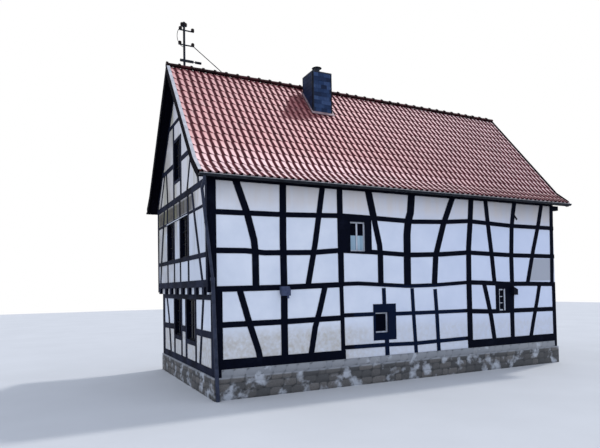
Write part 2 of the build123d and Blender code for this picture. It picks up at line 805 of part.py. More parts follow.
def make_mast():
    """The pole with its arms and insulators, and the rod that stays it."""
    y = ridge_y + mast_behind_ridge
    seat = ridge_level - mast_behind_ridge * pitch_slope
    low = seat - 4 * mast_radius
    back_foot = (house_depth, ridge_level - ridge_y * pitch_slope)
    below = outline([(0, 0), (ridge_y, 0), (ridge_y, ridge_level), back_foot, (house_depth, 0)])
    roof_block = along_roof(below, 0, house_length)
    foot = Pos(mast_along, y, low)
    mast = foot * round_post(mast_radius, mast_top - low, mast_sides)
    mast += foot * round_post(mast_collar_radius, seat + mast_collar_height - low, mast_sides)
    for arm in mast_arms:
        mast += mast_arm(y, *arm)
        drop, left_reach, right_reach, thickness = arm
        for tip in (insulator_radius - left_reach, right_reach - insulator_radius):
            seat_of_tip = Pos(mast_along + tip, y, mast_top - drop)
            mast += seat_of_tip * round_post(insulator_radius, insulator_height, insulator_sides)
    mast += mast_arm(y, *mast_low_arm)
    drop, left_reach, right_reach, thickness = mast_low_arm
    end = Vector(mast_along + right_reach, y, mast_top - drop)
    link = end + Vector(strain_link, 0, 0)
    mast += rod(end - Vector(thickness / 2, 0, 0), link + Vector(thickness / 2, 0, 0),
                stay_radius, stay_sides)
    mast += rod(link, link + Vector(strain_insulator_length, 0, 0), insulator_radius,
                insulator_sides)
    mast -= roof_block
    save("roof_mast", mast)
    stay = rod((mast_along, y, mast_top - stay_drop), (stay_foot_along, y, seat), stay_radius,
               stay_sides)
    stay = stay - roof_block - mast
    save("mast_stay", stay.solids().sort_by(SortBy.VOLUME)[-1])


def mast_arm(y, drop, left_reach, right_reach, thickness):
    half = thickness / 2
    level = mast_top - drop
    return box(mast_along - left_reach, mast_along + right_reach, y - half, y + half,
               level - half, level + half)


def make_lamps():
    left = long_lower.at(floodlight_place[0], 0)[0]
    low = floodlight_place[1]
    high = low + floodlight_height
    depth = floodlight_depth
    profile = outline([(0, low + depth / 2), (0, high), (-depth / 2, high), (-depth, low + depth),
                       (-depth, low), (-depth / 2, low)])
    lamp = along_roof(profile, left, left + floodlight_width)
    place = Pos(left + 3 * floodlight_width / 4, -3 * depth / 4, low - sensor_height)
    lamp += place * round_post(sensor_radius, 2 * sensor_height, mast_sides)
    save("floodlight", lamp)
    left = long_lower.at(wall_lamp_place[0], 0)[0]
    right = left + wall_lamp_width
    low = wall_lamp_place[1]
    high = low + wall_lamp_height
    face = outline([(left, low), (right, low), (right, high - wall_lamp_slope), (left, high)])
    save("wall_lamp", extrude(long_plane * face, amount=wall_lamp_depth, dir=(0, -1, 0)))


make_plinth()
make_long_walls()
make_gable_walls()
make_floors()
make_roof()
make_chimney()
make_mast()
make_lamps()
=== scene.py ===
import math
import random

import bmesh
import bpy
from mathutils import Matrix, Vector, noise
from mathutils.geometry import intersect_line_line_2d


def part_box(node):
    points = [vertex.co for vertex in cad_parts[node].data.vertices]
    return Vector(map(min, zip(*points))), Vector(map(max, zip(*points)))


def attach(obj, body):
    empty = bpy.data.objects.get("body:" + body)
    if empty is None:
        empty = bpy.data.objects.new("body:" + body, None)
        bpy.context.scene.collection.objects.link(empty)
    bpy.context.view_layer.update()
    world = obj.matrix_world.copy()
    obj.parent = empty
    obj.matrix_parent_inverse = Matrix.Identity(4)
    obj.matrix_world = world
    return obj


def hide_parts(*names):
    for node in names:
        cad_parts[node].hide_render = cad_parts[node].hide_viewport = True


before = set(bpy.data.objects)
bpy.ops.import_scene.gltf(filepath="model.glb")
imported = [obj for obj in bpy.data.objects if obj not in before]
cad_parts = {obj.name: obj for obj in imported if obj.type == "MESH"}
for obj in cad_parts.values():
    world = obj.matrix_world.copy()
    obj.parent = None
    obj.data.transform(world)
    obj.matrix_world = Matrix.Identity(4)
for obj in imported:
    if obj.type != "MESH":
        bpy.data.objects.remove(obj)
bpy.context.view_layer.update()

# The half timbered house in metres: x along the front wall, y into the house, z up from the foot
# of the plinth, and the origin below the middle of the house.

chance = random.Random(7)

# Welding of a node's mesh: the widest weld, the smallest edge kept, and the turn still called flat
WELD = 0.0001
SMALLEST_EDGE = 0.004
FLAT_TURN = 0.01

# The way that each side of the house faces
OUTWARD = {"front": Vector((0, -1, 0)), "back": Vector((0, 1, 0)), "left": Vector((-1, 0, 0)),
           "right": Vector((1, 0, 0))}

# The tone of a piece whose material doesn't read it
PLAIN_TONE = 0.5

# Roof tiles. The flank, the hollow's ends and the skew are shares of a tile's width
ROOF_PITCH = math.radians(50.7)
EAVES_PITCH = math.radians(39.0)
TILE_LAYER = 0.060
TILE_COLUMNS = 66
TILE_COURSES = 16
TILE_THICKNESS = 0.013
TILE_HEAD_WAVE = 0.008
TILE_TAIL_WAVE = 0.024
TILE_SKEW = 0.11
TILE_HOLLOW = (0.42, 0.92)
TILE_HOLLOW_TONE = 0.7
TILE_FLANK = 0.26
# Painted shade across a tile: where it starts to lift past the flank, how fast it lifts and falls
# again into the trough, and the tone it leaves at its darkest
TILE_LIT_START = 0.9 * TILE_FLANK
TILE_LIT_RISE = 0.12
TILE_LIT_FALL = 0.18
TILE_SHADED_TONE = 0.3
TILE_TONES = (0.75, 1.0)
TILE_UNEVENNESS = 0.004
TILE_TAIL_LIFT = 0.017
EAVES_LIFT = 0.026
TILE_LAP = 0.05
TILE_STEPS_ACROSS = 14
TILE_STEPS_ALONG = 3
RIDGE_TILE_LENGTH = 0.36
RIDGE_TILE_RADIUS = 0.062
RIDGE_TILE_SPREAD = 0.008
RIDGE_COLLAR_LENGTH = 0.055
RIDGE_COLLAR_RISE = 0.026
RIDGE_COLLAR_TAPER = 0.8
RIDGE_COLLAR_SEAT = 0.010
RIDGE_COLLAR_TONE = 0.0
RIDGE_TONES = (0.0, 0.16)
RIDGE_TURNS = (-0.08, 1.08)
RIDGE_SINK = 0.012
RIDGE_STEPS = 10

# Plaster panels. A panel with a corner too sharp for the smallest room gets no rounded edge
SMALLEST_ROOM = 0.08
FACING_OUT = 0.99
PANEL_EDGE = 0.022
PANEL_BULGE = 0.005
SMALLEST_PANEL_WIDTH = 0.10

# Rubble stones of the plinth
STONE_HEIGHTS = (0.13, 0.24)
STONE_LENGTHS = (0.22, 0.48)
STONE_JOINT = 0.018
STONE_BULGE = 0.030
STONE_STEPS = 5
STONE_ROUGHNESS = 0.4
STONE_LUMPS = 1.4
STONE_SEEDS = (3.1, 5.3)
STONE_PINCH = (0.06, 0.08)
STONE_UNEVENNESS = 0.28

# Slates of the chimney
SLATE_COURSE = 0.125
SLATE_WIDTH = 0.20
SLATE_THICKNESS = 0.006
SLATE_TAIL = 0.010
SLATE_TAIL_UNEVENNESS = 0.002
SLATE_HALF_JOINT = 0.0015
SMALLEST_SLATE = 0.01
SHADED_SLATE_SHARE = 0.3
SLATES_BELOW_ROOF = 0.45
TRIM_WIDTH = 0.035
TRIM_OFF_SLATES = 0.004

# Joinery. Of the long walls' windows only the small one, past this start, has cross bars
BAR_WIDTH = 0.022
BAR_DEPTH = 0.014
PANE_LIGHTS = 3
SMALL_WINDOW_START = 3.0
LATH_ALONG = (-1.12, 1.42)
LATH_LEVEL = 4.745
LATH_HEIGHT = 0.022
LATH_REACH = 0.028

# Gutter brackets and pipe clips. A clip is (pipe start, pipe end, pipe radius, its level)
BRACKET_TURNS = (206, 334)
BRACKET_STEPS = 8
BRACKET_THICKNESS = 0.004
BRACKET_SPACING = 0.8
BRACKET_WIDTH = 0.025
BEAD_RADIUS = 0.010
BEAD_SIDES = 10
WALL_FACE = 2.93
CLIP_HEIGHT = 0.030
CLIP_THICKNESS = 0.006
CLIP_SIDES = 20
UPPER_PIPE = (Vector((-6.140, -3.020, 2.980)), Vector((-6.375, -3.020, 5.120)), 0.038)
LOWER_PIPE = (Vector((-6.045, -3.020, 0)), Vector((-6.140, -3.020, 2.980)), 0.048)
PIPE_CLIPS = [(*UPPER_PIPE, 4.30), (*LOWER_PIPE, 1.95), (*LOWER_PIPE, 0.65)]

# Mast: arms as (drop below its top, reach to the left, reach to the right), and the outline of an
# insulator's sheds and top as (radius, height)
MAST_X = -5.935
MAST_ARMS = [(0.700, 0.170, 0.300), (0.250, 0.150, 0.300), (0.120, 0.100, 0.080)]
INSULATOR_RADIUS = 0.038
SHED_OUTLINE = [(0.039, 0.0), (0.052, 0.004), (0.052, 0.009), (0.039, 0.018)]
SHED_COUNT = 3
SHED_START = 0.006
SHED_SPACING = 0.029
SHED_SIDES = 16
INSULATOR_TOP = [(0.036, 0.093), (0.0, 0.098)]
LOOP_OFF_MAST = Vector((-0.02, -0.03, 0))
LOOP_STEPS = 24
LOOP_DROP = 0.16
LOOP_WIDTH = 0.20
LOOP_HEIGHT = 0.62
LOOP_RADIUS = 0.009

# Camera
CAMERA_PLACE = Vector((-9.823, -14.986, 2.684))
CAMERA_YAW = math.radians(26.091)
CAMERA_PITCH = math.radians(1.708)
CAMERA_ROLL = math.radians(-0.991)
CAMERA_LENS = 30.934
CAMERA_SHIFT = (0.0100, 0.0817)
SENSOR_WIDTH = 36
FARTHEST_VIEW = 200

# The high light from the right and a little behind the front wall
TO_THE_SUN = Vector((0.58, 0.15, 0.80))


def paint(red, green, blue):
    """A colour as it shows on a screen, 0 to 255, in the linear units of a shader."""
    def linear(value):
        share = value / 255
        return share / 12.92 if share <= 0.04045 else ((share + 0.055) / 1.055) ** 2.4
    return (linear(red), linear(green), linear(blue), 1)


# Light and floor
SKY_COLOUR = paint(223, 234, 255)
SKY_STRENGTH = 1.05
SUN_ENERGY = 1.45
SUN_WIDTH = math.radians(4)
FLOOR_REACH = 60

# The sockets of a mix node that carry its two colours and what they make
FIRST_COLOUR, SECOND_COLOUR, MIXED_COLOUR = 6, 7, 2

# How softly a patch, the weathered band and painted edges end
PATCH_BLUR = 0.02
WEATHERED_BLUR = 0.06
PAINT_BLUR = 0.004

# The rebuilt middle part of the lower storey, whose timbers are bluer
REBUILT_ALONG = (-2.10, 1.95)
REBUILT_HEIGHT = (0.60, 2.72)

# Plaster colours, and where they change: from where to where a patch, a stain or painted shade grows.
# The repaired panel is near the right end and leans with its brace
PLASTER_SHADE = paint(219, 225, 236)
PLASTER_WHITE = paint(235, 239, 247)
BLUER_ALONG = (-3.5, 3.5)
GABLE_PANELS = (6.06, 6.10)
GRIME_HEIGHT = (1.75, 1.45)
GRIME_ALONG = (-2.6, -1.4)
# Painted shade under the eaves: a warm streaky band along the top of the wall, and a greyer band at
# its right end
STREAKY_SHADE_HEIGHT = (4.5, 4.95)
GREY_SHADE_HEIGHT = (4.4, 5.1)
GREY_SHADE_ALONG = (2.0, 4.5)
REPAIRED_LEAN = 0.22
REPAIRED_ALONG = (4.165, 5.415)
REPAIRED_HEIGHT = (2.80, 3.55)
TAN_INWARD = (-0.6, 0.8)
WEATHERED_HEIGHT = (4.80, 5.26)
WEATHERED_INWARD = (-2.1, -1.4)
RUNS_HEIGHT = (3.2, 4.7)

# Where the tiles turn paler, toward the right end and the eaves, and where limewash lies along the
# plinth's top
PALER_TILES_ALONG = (-1.5, 5.5)
PALER_TILES_HEIGHT = (6.6, 5.5)
WASHED_HEIGHT = (0.50, 0.53)

# The dark painted parts of the small window's frame, and the short curtain in the upper window
SMALL_WINDOW_DARK_BANDS = ((3.42, 3.450), (3.604, 3.664))
CURTAIN_ALONG = (-2.165, -1.650)
CURTAIN_HEIGHT = (3.685, 4.130)


def show(name, data):
    """A new object in the scene."""
    made = bpy.data.objects.new(name, data)
    bpy.context.scene.collection.objects.link(made)
    return made


class Finish:
    """A material with its pattern, wear and bump made by nodes in the model's own space."""

    def __init__(self, name, roughness=0.7, specular=0.5):
        self.material = bpy.data.materials.new(name)
        self.material.use_nodes = True
        self.tree = self.material.node_tree
        self.shader = self.tree.nodes["Principled BSDF"]
        self.shader.inputs["Roughness"].default_value = roughness
        self.shader.inputs["Specular IOR Level"].default_value = specular
        self.source = self.add("ShaderNodeTexCoord")
        self.place = self.source.outputs["Object"]
        self.along, self.inward, self.height = self.split(self.place)

    def add(self, kind, **settings):
        made = self.tree.nodes.new(kind)
        for key, value in settings.items():
            setattr(made, key, value)
        return made

    def feed(self, socket, value):
        if isinstance(value, bpy.types.NodeSocket):
            self.tree.links.new(value, socket)
        else:
            socket.default_value = value

    def split(self, vector):
        made = self.add("ShaderNodeSeparateXYZ")
        self.feed(made.inputs["Vector"], vector)
        return made.outputs

    def facing_along(self):
        """1 where the surface faces along the house, as at the gables, and 0 at the long walls."""
        return self.math("ABSOLUTE", self.split(self.source.outputs["Normal"])[0])

    def noise(self, scale, detail=4.0, stretch=(1, 1, 1), rough=0.55):
        mapping = self.add("ShaderNodeMapping")
        self.feed(mapping.inputs["Vector"], self.place)
        mapping.inputs["Scale"].default_value = stretch
        made = self.add("ShaderNodeTexNoise")
        self.feed(made.inputs["Vector"], mapping.outputs["Vector"])
        made.inputs["Scale"].default_value = scale
        made.inputs["Detail"].default_value = detail
        made.inputs["Roughness"].default_value = rough
        return made.outputs["Fac"]

    def attribute(self, name):
        return self.add("ShaderNodeAttribute", attribute_name=name).outputs["Fac"]

    def range(self, value, low, high, new_low=0.0, new_high=1.0):
        """The value carried from one range to another, and held at its ends."""
        made = self.add("ShaderNodeMapRange")
        self.feed(made.inputs["Value"], value)
        made.inputs["From Min"].default_value = low
        made.inputs["From Max"].default_value = high
        made.inputs["To Min"].default_value = new_low
        made.inputs["To Max"].default_value = new_high
        return made.outputs["Result"]

    def band(self, value, start, end, blur):
        """1 between two values, and 0 outside them."""
        rise = self.range(value, start - blur, start + blur)
        fall = self.range(value, end - blur, end + blur, 1.0, 0.0)
        return self.product(rise, fall)

    def product(self, first, *others):
        for other in others:
            first = self.math("MULTIPLY", first, other)
        return first

    def math(self, operation, first, second=0.0):
        made = self.add("ShaderNodeMath", operation=operation)
        self.feed(made.inputs[0], first)
        self.feed(made.inputs[1], second)
        return made.outputs[0]

    def ramp(self, value, stops):
        made = self.add("ShaderNodeValToRGB")
        self.feed(made.inputs["Fac"], value)
        elements = made.color_ramp.elements
        while len(elements) < len(stops):
            elements.new(0.5)
        for element, (position, colour) in zip(elements, stops):
            element.position = position
            element.color = colour
        return made.outputs["Color"]

    def mix(self, share, first, second):
        """Two colours mixed: the first where the share is 0, the second where it is 1."""
        made = self.add("ShaderNodeMix", data_type="RGBA")
        self.feed(made.inputs["Factor"], share)
        self.feed(made.inputs[FIRST_COLOUR], first)
        self.feed(made.inputs[SECOND_COLOUR], second)
        return made.outputs[MIXED_COLOUR]

    def colour(self, value):
        self.feed(self.shader.inputs["Base Color"], value)

    def roughness(self, value):
        self.feed(self.shader.inputs["Roughness"], value)

    def bump(self, height, distance, strength=1.0):
        made = self.add("ShaderNodeBump")
        self.feed(made.inputs["Height"], height)
        made.inputs["Distance"].default_value = distance
        made.inputs["Strength"].default_value = strength
        self.feed(self.shader.inputs["Normal"], made.outputs["Normal"])


def timber_finish():
    """Tarred oak: near black, with grain, fine checks and a few paler worn patches."""
    finish = Finish("black_timber", 0.75, 0.03)
    grain = finish.noise(26, 6, (1, 1, 0.16), 0.7)
    cross_grain = finish.noise(24, 6, (0.14, 1, 1), 0.7)
    worn = finish.noise(1.7, 5)
    dark = finish.ramp(grain, [(0.25, paint(3, 5, 14)), (0.8, paint(14, 18, 34))])
    pale = finish.ramp(cross_grain, [(0.3, paint(12, 16, 30)), (0.85, paint(46, 52, 70))])
    colour = finish.mix(finish.range(worn, 0.58, 0.8, 0.0, 0.6), dark, pale)
    rebuilt = finish.product(finish.band(finish.along, *REBUILT_ALONG, PATCH_BLUR),
                             finish.band(finish.height, *REBUILT_HEIGHT, PATCH_BLUR), 0.8)
    colour = finish.mix(rebuilt, colour, paint(14, 26, 50))
    # Faces toward the gables are paler and bluer, in patches
    paler_toward_gables = finish.product(finish.facing_along(), finish.range(worn, 0.35, 0.65, 0.1, 0.8))
    finish.colour(finish.mix(paler_toward_gables, colour, paint(42, 47, 66)))
    finish.roughness(finish.range(grain, 0.2, 0.8, 0.6, 0.85))
    finish.bump(finish.math("ADD", grain, cross_grain), 0.006, 0.6)
    return finish.material


def plaster_finish():
    """Limewashed panels: grimy near the ground, painted shade under the eaves, and weathered on the
    gables under the tie beam.

    Each layer of wear, and each of painted shade, is a share of the surface and a colour, laid over
    what is there."""
    finish = Finish("white_infill", 0.92, 0.25)
    blotches = finish.noise(1.3, 6)
    streaks = finish.noise(3.6, 5, (1, 1, 0.10))
    fine = finish.noise(90, 4)
    spots = finish.noise(9, 5)
    colour = finish.ramp(blotches, [(0.3, PLASTER_SHADE), (0.7, PLASTER_WHITE)])
    bluer = finish.range(finish.along, *BLUER_ALONG, 0.0, 0.62)
    colour = finish.mix(bluer, colour, paint(204, 214, 238))
    near, far = GABLE_PANELS
    gable = finish.math("MAXIMUM", finish.range(finish.along, -far, -near, 1.0, 0.0),
                        finish.range(finish.along, near, far))
    colour = finish.mix(finish.product(gable, 0.5), colour, paint(194, 198, 208))
    grime = finish.product(finish.range(finish.height, *GRIME_HEIGHT),
                           finish.range(spots, 0.3, 0.72, 0.3, 0.95),
                           finish.range(finish.along, *GRIME_ALONG, 1.0, 0.45))
    colour = finish.mix(grime, colour, paint(194, 188, 178))
    # Painted shade under the eaves: warmer and darker in streaks toward the top of the wall
    streaky_eaves_shade = finish.product(finish.range(finish.height, *STREAKY_SHADE_HEIGHT),
                               finish.range(streaks, 0.35, 0.7, 0.35, 0.8))
    colour = finish.mix(streaky_eaves_shade, colour, paint(226, 216, 208))
    # Painted shade under the eaves at the right end: greyer toward the top of the wall
    grey_eaves_shade = finish.product(finish.range(finish.height, *GREY_SHADE_HEIGHT),
                           finish.range(finish.along, *GREY_SHADE_ALONG, 0.0, 0.5))
    colour = finish.mix(grey_eaves_shade, colour, paint(176, 172, 168))
    upright = finish.math("SUBTRACT", finish.along, finish.product(finish.height, REPAIRED_LEAN))
    repaired = finish.product(finish.band(upright, *REPAIRED_ALONG, PATCH_BLUR),
                              finish.band(finish.height, *REPAIRED_HEIGHT, PATCH_BLUR), 0.85)
    colour = finish.mix(repaired, colour, paint(164, 166, 172))
    tan = finish.product(gable, finish.range(finish.inward, *TAN_INWARD),
                         finish.range(blotches, 0.35, 0.62, 0.1, 0.75))
    colour = finish.mix(tan, colour, paint(168, 160, 150))
    weathered = finish.product(gable, finish.band(finish.height, *WEATHERED_HEIGHT, WEATHERED_BLUR),
                               finish.range(streaks, 0.3, 0.6, 0.75, 1.0),
                               finish.range(finish.inward, *WEATHERED_INWARD))
    moss = finish.ramp(spots, [(0.3, paint(32, 29, 27)), (0.75, paint(82, 74, 60))])
    colour = finish.mix(weathered, colour, moss)
    runs = finish.product(gable, finish.range(finish.height, *RUNS_HEIGHT),
                          finish.range(streaks, 0.52, 0.68, 0.0, 0.7))
    colour = finish.mix(runs, colour, paint(158, 156, 130))
    finish.colour(colour)
    finish.bump(finish.math("ADD", finish.product(blotches, 2.0), fine), 0.004, 0.5)
    return finish.material


def tile_finish():
    """Glossy red clay tiles, each with its own tone and painted shade, paler toward the right end and
    the eaves, with darker stains.
    """
    finish = Finish("clay_tile", 0.5)
    finish.shader.inputs["IOR"].default_value = 2.2
    finish.shader.inputs["Specular Tint"].default_value = paint(255, 222, 226)
    tone = finish.attribute("tone")
    stops = [(0.0, paint(10, 2, 6)), (0.3, paint(88, 34, 42)), (0.6, paint(124, 54, 58)),
             (1.0, paint(150, 76, 78))]
    # The tiles turn paler toward the right end and toward the eaves, where their tone is high
    paler_share = finish.math("MAXIMUM", finish.range(finish.along, *PALER_TILES_ALONG, 0.0, 0.72),
                           finish.range(finish.height, *PALER_TILES_HEIGHT, 0.0, 0.80))
    paler_share = finish.product(paler_share, finish.range(tone, 0.4, 0.75))
    clay = finish.mix(paler_share, finish.ramp(tone, stops), paint(238, 216, 216))
    finish.feed(finish.shader.inputs["Specular IOR Level"], finish.range(tone, 0.3, 0.7, 0.05, 1.0))
    stain = finish.noise(4.0, 5)
    fine = finish.noise(110, 3)
    finish.colour(finish.mix(finish.range(stain, 0.52, 0.78, 0.0, 0.55), clay, paint(40, 14, 20)))
    finish.roughness(finish.range(fine, 0.3, 0.7, 0.56, 0.64))
    finish.bump(fine, 0.0012, 0.5)
    return finish.material


def stone_finish():
    """Rubble stone and mortar with limewash left in patches."""
    finish = Finish("plinth_stone", 0.92, 0.3)
    tone = finish.attribute("tone")
    stops = [(0.0, paint(84, 84, 84)), (0.5, paint(100, 98, 96)), (1.0, paint(120, 116, 112))]
    stone = finish.ramp(tone, stops)
    speckle = finish.noise(55, 5)
    washed = finish.range(finish.noise(2.3, 6), 0.53, 0.64, 0.0, 0.85)
    washed = finish.math("MAXIMUM", washed, finish.range(finish.height, *WASHED_HEIGHT, 0.0, 0.45))
    rough = finish.mix(finish.range(speckle, 0.35, 0.75, 0.0, 0.6), stone, paint(58, 58, 60))
    finish.colour(finish.mix(washed, rough, paint(186, 190, 196)))
    finish.bump(speckle, 0.008, 0.7)
    return finish.material


def metal_finish(name, dark, pale, metallic, roughness):
    """Weathered sheet metal or painted metal, dull and a little blotched."""
    finish = Finish(name, roughness, 0.15)
    finish.shader.inputs["Metallic"].default_value = metallic
    blotches = finish.noise(7, 6)
    fine = finish.noise(160, 3)
    finish.colour(finish.ramp(blotches, [(0.3, dark), (0.72, pale)]))
    finish.roughness(finish.range(blotches, 0.3, 0.7, roughness - 0.08, roughness + 0.1))
    finish.bump(fine, 0.001, 0.3)
    return finish.material


def board_finish(name, dark, pale):
    """Boards with their grain along the house."""
    finish = Finish(name, 0.8, 0.03)
    grain = finish.noise(18, 6, (0.12, 1, 1), 0.7)
    finish.colour(finish.ramp(grain, [(0.25, dark), (0.8, pale)]))
    finish.roughness(finish.range(grain, 0.2, 0.8, 0.7, 0.9))
    finish.bump(grain, 0.004, 0.5)
    return finish.material


def slate_finish():
    """Blue black slates, each a little different."""
    finish = Finish("slate_cladding", 0.6, 0.08)
    stops = [(0.0, paint(24, 34, 58)), (0.5, paint(38, 58, 92)), (1.0, paint(62, 82, 118))]
    slate = finish.ramp(finish.attribute("tone"), stops)
    cleft = finish.noise(34, 6, (1, 1, 0.5))
    finish.colour(finish.mix(finish.range(cleft, 0.4, 0.8, 0.0, 0.5), slate, paint(22, 30, 48)))
    finish.bump(cleft, 0.003, 0.5)
    return finish.material


def glass_finish(name, curtain=None):
    """Old window glass, dark from outside. A short curtain may show behind its lower half."""
    finish = Finish(name, 0.15, 0.02)
    waves = finish.noise(5, 2)
    colour = finish.ramp(waves, [(0.3, paint(1, 3, 14)), (0.8, paint(4, 8, 24))])
    if curtain:
        along, height = curtain
        folds = finish.noise(16, 2, (1, 1, 0.05))
        cloth = finish.ramp(folds, [(0.35, paint(142, 168, 186)), (0.65, paint(176, 200, 212))])
        seen = finish.product(finish.band(finish.along, *along, PAINT_BLUR),
                              finish.band(finish.height, *height, PAINT_BLUR))
        colour = finish.mix(seen, colour, cloth)
    finish.colour(colour)
    finish.bump(waves, 0.002, 0.4)
    return finish.material


def joinery_finish(name, worn, sound, specular=0.15, dark_bands=()):
    """Painted window frames, worn in streaks. Upright bands of a frame may be painted dark."""
    finish = Finish(name, 0.55, specular)
    wear = finish.noise(11, 6, (1, 1, 0.3))
    painted = finish.ramp(wear, [(0.25, worn), (0.7, sound)])
    for start, end in dark_bands:
        dark = finish.band(finish.along, start, end, PAINT_BLUR)
        painted = finish.mix(dark, painted, paint(6, 8, 18))
    finish.colour(painted)
    finish.bump(wear, 0.0015, 0.4)
    return finish.material


def spoke(radius, turn, height=0.0):
    return Vector((radius * math.cos(turn), radius * math.sin(turn), height))


class Form:
    """Vertices, faces and a tone for each vertex, gathered for one joined piece."""

    def __init__(self):
        self.vertices = []
        self.faces = []
        self.tones = []
        self.smooth = []

    def grid(self, rows, tone=PLAIN_TONE, smooth=True, flipped=False):
        """Faces between rows of as many points each. The tone may be a list of rows too."""
        first = len(self.vertices)
        count = len(rows[0])
        for level, row in enumerate(rows):
            self.vertices += [tuple(point) for point in row]
            self.tones += tone[level] if isinstance(tone, list) else [tone] * count
        for level in range(len(rows) - 1):
            for place in range(count - 1):
                corner = first + level * count + place
                face = (corner, corner + 1, corner + count + 1, corner + count)
                self.faces.append(face[::-1] if flipped else face)
                self.smooth.append(smooth)

    def box(self, low, high):
        """An upright bar between two corners."""
        xs, ys, zs = zip(low, high)
        first = len(self.vertices)
        self.vertices += [(x, y, z) for z in zs for y in ys for x in xs]
        sides = ((0, 2, 3, 1), (4, 5, 7, 6), (0, 1, 5, 4), (2, 6, 7, 3), (0, 4, 6, 2), (1, 3, 7, 5))
        for face in sides:
            self.faces.append(tuple(first + corner for corner in face))
            self.smooth.append(False)
        self.tones += [PLAIN_TONE] * 8

    def sheet(self, points, tone):
        """One flat face through its points."""
        first = len(self.vertices)
        self.vertices += [tuple(point) for point in points]
        self.faces.append(tuple(range(first, first + len(points))))
        self.tones += [tone] * len(points)
        self.smooth.append(False)

    def lathe(self, centre, profile, sides):
        """A round upright form from (radius, height) points, first to last."""
        rows = []
        for radius, height in profile:
            ring = []
            for side in range(sides + 1):
                turn = 2 * math.pi * side / sides
                ring.append(centre + spoke(radius, turn, height))
            rows.append(ring)
        self.grid(rows)

    def tube(self, points, radius, sides=8):
        """A round bar along a line of points."""
        rows = []
        for index, point in enumerate(points):
            ahead = points[min(index + 1, len(points) - 1)] - points[max(index - 1, 0)]
            turn = ahead.to_track_quat("Z", "Y")
            ring = []
            for side in range(sides + 1):
                ring.append(point + turn @ spoke(radius, 2 * math.pi * side / sides))
            rows.append(ring)
        self.grid(rows)

    def piece(self, name, material, replaced=None):
        """All that was gathered, as one piece on the house."""
        mesh = bpy.data.meshes.new(name)
        mesh.from_pydata(self.vertices, [], self.faces)
        mesh.materials.append(material)
        mesh.polygons.foreach_set("use_smooth", self.smooth)
        mesh.attributes.new("tone", "FLOAT", "POINT").data.foreach_set("value", self.tones)
        mesh.update()
        made = show(name, mesh)
        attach(made, "root")
        if replaced:
            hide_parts(replaced)


def node_shape(node):
    """A welded copy of a node's mesh, with its flat faces whole again."""
    shape = bmesh.new()
    shape.from_mesh(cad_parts[node].data)
    bmesh.ops.remove_doubles(shape, verts=shape.verts, dist=WELD)
    bmesh.ops.dissolve_limit(shape, angle_limit=FLAT_TURN, verts=shape.verts, edges=shape.edges)
    bmesh.ops.dissolve_degenerate(shape, dist=SMALLEST_EDGE, edges=shape.edges)
    return shape


def solid_boxes(node):
    """The (low, high) corners of each separate solid in a node."""
    shape = node_shape(node)
    seen = set()
    boxes = []
    for start in shape.verts:
        if start in seen:
            continue
        group = [start]
        seen.add(start)
        for vertex in group:
            for edge in vertex.link_edges:
                other = edge.other_vert(vertex)
                if other not in seen:
                    seen.add(other)
                    group.append(other)
        low = Vector(min(vertex.co[axis] for vertex in group) for axis in range(3))
        high = Vector(max(vertex.co[axis] for vertex in group) for axis in range(3))
        boxes.append((low, high))
    shape.free()
    return boxes


class RoofPath:
    """The line from the eaves to the ridge that the battens of the front slope follow."""

    def __init__(self):
        low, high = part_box("front_roof_tiles")
        self.start = Vector((low.y, low.z))
        self.ridge = Vector((high.y, high.z - TILE_LAYER / math.cos(ROOF_PITCH)))
        run, rise = self.ridge - self.start
        steep, gentle = math.tan(ROOF_PITCH), math.tan(EAVES_PITCH)
        eaves_run = (run * steep - rise) / (steep - gentle)
        self.eaves_length = eaves_run / math.cos(EAVES_PITCH)
        self.length = self.eaves_length + (run - eaves_run) / math.cos(ROOF_PITCH)

    def point(self, distance, lift):
        """(y, z) at a distance up the slope, lifted off the battens."""
        along = Vector((math.cos(EAVES_PITCH), math.sin(EAVES_PITCH)))
        if distance <= self.eaves_length:
            return self.start + along * distance + Vector((-along.y, along.x)) * lift
        steep = Vector((math.cos(ROOF_PITCH), math.sin(ROOF_PITCH)))
        bend = self.start + along * self.eaves_length
        return bend + steep * (distance - self.eaves_length) + Vector((-steep.y, steep.x)) * lift


def tile_place(step, share):
    """Where a point lies across its tile's section, 0 to 1. The section shifts along the tile."""
    return (step / TILE_STEPS_ACROSS + TILE_SKEW * (share - 0.5)) % 1


def tile_height(across):
    """A pantile's section from -1 to 1: a steep left flank, and a long fall to the right."""
    if across < TILE_FLANK:
        return -math.cos(math.pi * across / TILE_FLANK)
    share = (across - TILE_FLANK) / (1 - TILE_FLANK)
    return 0.5 * math.cos(math.pi * share) + 0.5 - share


def tile_shading(across):
    """How brightly a pantile is painted across its width: painted shade darkens the steep flank,
    turned from the sun, and the trough, where the next crest's shadow falls.
    """
    rise = (across - TILE_LIT_START) / TILE_LIT_RISE
    fall = (1 - across) / TILE_LIT_FALL
    return max(TILE_SHADED_TONE, min(1.0, rise, fall))


